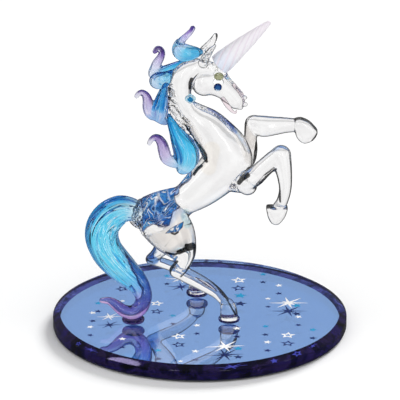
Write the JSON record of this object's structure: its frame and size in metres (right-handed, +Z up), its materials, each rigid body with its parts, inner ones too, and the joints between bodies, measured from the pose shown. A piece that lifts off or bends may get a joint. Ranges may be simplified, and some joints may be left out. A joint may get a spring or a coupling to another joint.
{
  "type": "unicorn figurine",
  "caption": "Rearing unicorn figurine in clear lamp-worked glass with blue and violet mane and tail, glued to a round blue mirror base printed with stars.",
  "frame": {"origin": "centre of the round base, on the plane the felt pads rest on", "axes": "+Z up, +X the way the animal faces, -Y its right side"},
  "size_m": [0.127, 0.127, 0.1385],
  "materials": {
    "clear_glass": "clear flame-polished glass",
    "base_blue_glass": "clear glass, blue seen through to the mirror",
    "silvering": "silvered layer",
    "backing": "matt protective film",
    "felt": "dense black felt",
    "white_enamel": "screen-printed enamel",
    "blue_enamel": "screen-printed enamel",
    "frosted_glass": "frosted, twisted",
    "blue_glass": "transparent, combed",
    "violet_glass": "transparent, fading from blue to violet",
    "aqua_glass": "fluted, white and blue streaks",
    "blue_crystal": "cut crystal",
    "gold_crystal": "cut crystal",
    "turquoise_glass": "fused bead",
    "adhesive": "cured clear adhesive, violet cast"
  },
  "bodies": {
    "root": {"felt_pads": "felt", "backing_film": "backing", "mirror_layer": "silvering", "base_glass": "base_blue_glass", "white_star_prints": "white_enamel", "blue_star_prints": "blue_enamel", "neck": "clear_glass", "barrel": "clear_glass", "hindquarters": "clear_glass", "head": "clear_glass", "horn": "frosted_glass", "right_ear": "clear_glass", "left_ear": "clear_glass", "right_eye": "blue_crystal", "left_eye": "blue_crystal", "right_brow_stone": "gold_crystal", "left_brow_stone": "gold_crystal", "cheek_bead": "turquoise_glass", "beard": "clear_glass", "mane_lock_1": "blue_glass", "mane_tip_1": "violet_glass", "mane_lock_2": "blue_glass", "mane_tip_2": "violet_glass", "mane_lock_3": "blue_glass", "mane_lock_4": "blue_glass", "mane_tip_4": "violet_glass", "mane_lock_5": "blue_glass", "mane_tip_5": "violet_glass", "left_foreleg": "clear_glass", "left_fore_hoof": "clear_glass", "right_foreleg": "clear_glass", "right_fore_hoof": "clear_glass", "left_hind_leg": "clear_glass", "left_hind_hoof": "clear_glass", "right_hind_leg": "clear_glass", "right_hind_hoof": "clear_glass", "tail": "aqua_glass", "tail_curl": "violet_glass", "tail_glue": "adhesive", "left_hind_glue": "adhesive", "right_hind_glue": "adhesive"}
  },
  "joints": []
}
